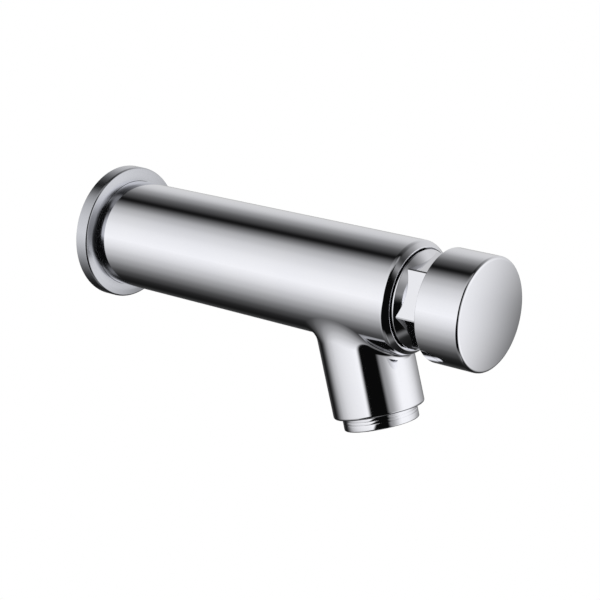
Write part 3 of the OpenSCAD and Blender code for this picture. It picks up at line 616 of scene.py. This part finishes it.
def turned_brass():
    material = new_finish("turned_brass", metallic=1, tones=((0.62, 0.45, 0.19), (0.74, 0.57, 0.28)),
                          roughness=(0.2, 0.36), scale=160)
    add_turning_lines(material, spacing=0.5, strength=0.35)
    return material


def turned_stainless():
    material = new_finish("turned_stainless", metallic=1, tones=((0.56, 0.57, 0.58), (0.66, 0.67, 0.69)),
                          roughness=(0.2, 0.34), scale=200)
    add_turning_lines(material, spacing=0.4, strength=0.3)
    return material


def moulded_acetal():
    material = new_finish("moulded_acetal", metallic=0, tones=((0.78, 0.78, 0.74), (0.84, 0.84, 0.81)),
                          roughness=(0.34, 0.5), scale=120)
    add_grain(material, scale=2500, strength=0.15)
    return material


def moulded_rubber():
    material = new_finish("moulded_rubber", metallic=0, tones=((0.018, 0.018, 0.02), (0.032, 0.032, 0.034)),
                          roughness=(0.5, 0.72), scale=220)
    add_grain(material, scale=3500, strength=0.35)
    return material


def pressed_fibre():
    material = new_finish("pressed_fibre", metallic=0, tones=((0.30, 0.07, 0.045), (0.42, 0.12, 0.08)),
                          roughness=(0.6, 0.85), scale=500)
    add_grain(material, scale=1800, strength=0.5)
    return material


# Studio: white ground, soft walls that the chrome mirrors, a pale floor and the camera

# Brightness of the walls round the tap's axis, at degrees from the left by floor, right and ceiling
STUDIO_WALLS = (
    (4, 0.97), (28, 0.70), (44, 0.47), (60, 0.26), (76, 0.11), (92, 0.037), (108, 0.012), (124, 0.020),
    (140, 0.06), (156, 0.13), (166, 0.25), (180, 0.62), (212, 0.64), (228, 0.42), (244, 0.19), (260, 0.05),
    (276, 0.05), (292, 0.37), (308, 0.63), (330, 0.84), (356, 0.97))

# A bright window in front: its edge in degrees from the right, the rest in parts of a unit direction
WINDOW_EDGE = (4, 62)
FRONT_DEPTH = (0, 0.3)
WINDOW_FOOT = (-0.85, -0.5)
WINDOW_HEAD = (0.74, 0.45)
WINDOW_GREY = 1

# A grey wing and a dark card beside the camera: upright edges and slants in degrees from the left
WING_FAR_EDGE = (35, 45)
WING_NEAR_EDGE = (105, 65)
WING_GREY = 0.3
CARD_FAR_EDGE = (15, 23)
CARD_SPREAD = 40
CARD_NEAR_EDGE = (67, 55)
CARD_SLANT = 22
CARD_BEND = 0.15
CARD_FOOT = (-0.95, -0.8)
CARD_HEAD = (0.9, 0.75)
CARD_GREY = 0.003


def calculated(tree, operation, *values):
    """Result of a math node whose values are sockets or plain numbers."""
    node = new_node(tree, "ShaderNodeMath", operation=operation)
    for socket, value in zip(node.inputs, values):
        if isinstance(value, (int, float)):
            socket.default_value = value
        else:
            node_link(tree, value, socket)
    return node.outputs["Value"]


def times(tree, first, second):
    return calculated(tree, "MULTIPLY", first, second)


def soft_step(tree, value, start, end):
    """A mask that rises smoothly from 0 at start to 1 at end."""
    step = new_node(tree, "ShaderNodeMapRange", interpolation_type="SMOOTHSTEP")
    step.inputs["From Min"].default_value = start
    step.inputs["From Max"].default_value = end
    node_link(tree, value, step.inputs["Value"])
    return step.outputs["Result"]


def between_steps(tree, value, foot, head):
    """A mask that rises over the foot and falls over the head."""
    return times(tree, soft_step(tree, value, *foot), soft_step(tree, value, *head))


def direction_round(tree, first, second):
    """Turn from one axis of the view direction to another, as a share with one half at the first axis."""
    plane = new_node(tree, "ShaderNodeCombineXYZ")
    node_link(tree, first, plane.inputs["X"])
    node_link(tree, second, plane.inputs["Y"])
    angle = new_node(tree, "ShaderNodeTexGradient", gradient_type="RADIAL")
    node_link(tree, plane.outputs["Vector"], angle.inputs["Vector"])
    return angle.outputs["Fac"]


def upright_edge(tree, angle, edge):
    """A soft step across an edge given in degrees."""
    return soft_step(tree, angle, *[0.5 + degree / 360 for degree in edge])


def leaning(tree, angle, height, slant):
    """Leans an upright edge by the slant, in degrees, times the height."""
    return calculated(tree, "MULTIPLY_ADD", height, -slant / 360, angle)


def laid_over(tree, under, grey, mask):
    """Lays an even grey over a colour where the mask says."""
    mix = new_node(tree, "ShaderNodeMix", data_type="RGBA")
    colours = [s for s in mix.inputs if s.type == "RGBA"]
    node_link(tree, mask, mix.inputs[0])
    node_link(tree, under, colours[0])
    colours[1].default_value = (grey, grey, grey, 1)
    return [s for s in mix.outputs if s.type == "RGBA"][0]


def studio_walls(tree, right, up):
    """Grey of the walls, floor and ceiling round the tap's axis."""
    walls = new_node(tree, "ShaderNodeValToRGB")
    walls.color_ramp.interpolation = "CARDINAL"
    stops = walls.color_ramp.elements
    stops.remove(stops[1])
    for i, (side, grey) in enumerate(STUDIO_WALLS):
        stop = stops.new(side / 360) if i else stops[0]
        stop.position = side / 360
        stop.color = (grey, grey, grey, 1)
    node_link(tree, direction_round(tree, right, up), walls.inputs["Fac"])
    return walls.outputs["Color"]


def front_window(tree, right, front, up):
    edge = upright_edge(tree, direction_round(tree, right, front), WINDOW_EDGE)
    ahead = times(tree, edge, soft_step(tree, front, *FRONT_DEPTH))
    return times(tree, ahead, between_steps(tree, up, WINDOW_FOOT, WINDOW_HEAD))


def grey_wing(tree, beside, front):
    far_edge = upright_edge(tree, beside, WING_FAR_EDGE)
    near_edge = upright_edge(tree, beside, WING_NEAR_EDGE)
    return times(tree, times(tree, far_edge, near_edge), soft_step(tree, front, *FRONT_DEPTH))


def dark_card(tree, beside, up):
    """The card's far edge spreads below the middle, and its near edge leans away from a bend."""
    below = calculated(tree, "MINIMUM", up, 0)
    from_bend = calculated(tree, "ABSOLUTE", calculated(tree, "SUBTRACT", up, CARD_BEND))
    far_edge = upright_edge(tree, leaning(tree, beside, below, CARD_SPREAD), CARD_FAR_EDGE)
    near_edge = upright_edge(tree, leaning(tree, beside, from_bend, CARD_SLANT), CARD_NEAR_EDGE)
    return times(tree, times(tree, far_edge, near_edge), between_steps(tree, up, CARD_FOOT, CARD_HEAD))


def studio_world():
    """White to the camera; chrome sees soft walls, a bright window, a grey wing and a dark card."""
    world = bpy.data.worlds.new("studio")
    bpy.context.scene.world = world
    world.use_nodes = True
    tree = world.node_tree
    place = new_node(tree, "ShaderNodeTexCoord")
    axes = new_node(tree, "ShaderNodeSeparateXYZ")
    node_link(tree, place.outputs["Generated"], axes.inputs["Vector"])
    right, back, up = (axes.outputs[name] for name in "XYZ")
    front, left = times(tree, back, -1), times(tree, right, -1)
    beside = direction_round(tree, left, front)
    mirrored = studio_walls(tree, right, up)
    mirrored = laid_over(tree, mirrored, WINDOW_GREY, front_window(tree, right, front, up))
    mirrored = laid_over(tree, mirrored, WING_GREY, grey_wing(tree, beside, front))
    mirrored = laid_over(tree, mirrored, CARD_GREY, dark_card(tree, beside, up))
    path = new_node(tree, "ShaderNodeLightPath")
    straight = calculated(tree, "MAXIMUM", path.outputs["Is Camera Ray"],
                          path.outputs["Is Transmission Ray"])
    seen = laid_over(tree, mirrored, 1, straight)
    node_link(tree, seen, tree.nodes["Background"].inputs["Color"])


def studio_lamp():
    """A soft key light that isn't mirrored in the chrome."""
    aim = Vector((0, -0.08, 0))
    light = bpy.data.lights.new("soft_key", "AREA")
    light.shape = "DISK"
    light.size = 0.8
    light.energy = 6
    lamp = add_object("soft_key", light)
    lamp.location = (-0.6, -0.5, 0.9)
    lamp.rotation_euler = (aim - lamp.location).to_track_quat("-Z", "Y").to_euler()
    lamp.visible_glossy = False


def floor_finish(middle, radius):
    """Pale floor that the camera sees fade to white from the middle outwards."""
    least_white, fade_start = 0.6, radius / 4
    material = new_finish("pale_floor", metallic=0, tones=((0.86, 0.86, 0.86), (0.88, 0.88, 0.88)),
                          roughness=(0.8, 0.9), scale=3)
    tree = material.node_tree
    place = new_node(tree, "ShaderNodeTexCoord")
    outwards = new_node(tree, "ShaderNodeVectorMath", operation="DISTANCE")
    outwards.inputs[1].default_value = middle
    node_link(tree, place.outputs["Object"], outwards.inputs[0])
    fade = new_node(tree, "ShaderNodeMapRange", interpolation_type="SMOOTHSTEP")
    fade.inputs["From Min"].default_value = fade_start
    fade.inputs["From Max"].default_value = radius
    fade.inputs["To Min"].default_value = least_white
    node_link(tree, outwards.outputs["Value"], fade.inputs["Value"])
    path = new_node(tree, "ShaderNodeLightPath")
    white = new_node(tree, "ShaderNodeEmission")
    seen = new_node(tree, "ShaderNodeMixShader")
    node_link(tree, times(tree, fade.outputs["Result"], path.outputs["Is Camera Ray"]), seen.inputs["Fac"])
    node_link(tree, tree.nodes["Principled BSDF"].outputs["BSDF"], seen.inputs[1])
    node_link(tree, white.outputs["Emission"], seen.inputs[2])
    node_link(tree, seen.outputs["Shader"], tree.nodes["Material Output"].inputs["Surface"])
    return material


def pale_floor():
    """A disc far below the tap that catches its shadow and isn't mirrored in the chrome."""
    radius, middle = 0.8, Vector((0, -0.08, -0.6))
    bm = bmesh.new()
    bmesh.ops.create_circle(bm, cap_ends=True, segments=96, radius=radius,
                            matrix=Matrix.Translation(middle))
    mesh = mesh_from(bm, "floor")
    mesh.materials.append(floor_finish(middle, radius))
    floor = add_object("floor", mesh)
    floor.visible_glossy = False


def camera():
    """Stands where the photograph was taken from."""
    right = Vector((0.62767, -0.77815, 0.02239))
    up = Vector((0.20194, 0.19053, 0.96069))
    back = Vector((-0.75183, -0.59848, 0.27673))
    sensor, focal_pixels, image_pixels = 36, 1782.23, 600
    lens = bpy.data.cameras.new("camera")
    lens.sensor_width = sensor
    lens.lens = focal_pixels * sensor / image_pixels
    view = add_object("camera", lens)
    view.matrix_world = Matrix((right, up, back)).transposed().to_4x4()
    view.location = (-0.47948, -0.46980, 0.16577)
    bpy.context.scene.camera = view


# The tap in its studio

SURFACE_MARKS = surface_marks()
TURNING_LINES = turning_lines()
FINE_GRAIN = fine_grain()
FINISH_OF_SLOT = {
    "chrome": polished_chrome(), "brass": turned_brass(), "stainless": turned_stainless(),
    "acetal": moulded_acetal(), "rubber": moulded_rubber(), "fibre": pressed_fibre()}
for name, node in frame["nodes"].items():
    for slot in node.material_slots:
        slot.material = FINISH_OF_SLOT[SLOT_OF[name]]

tap_body()
wall_flange()
cartridge_head()
push_button()
aerator_ring()
inlet_nipple()
return_spring()

bpy.context.scene.view_settings.view_transform = "Standard"
studio_world()
studio_lamp()
pale_floor()
camera()
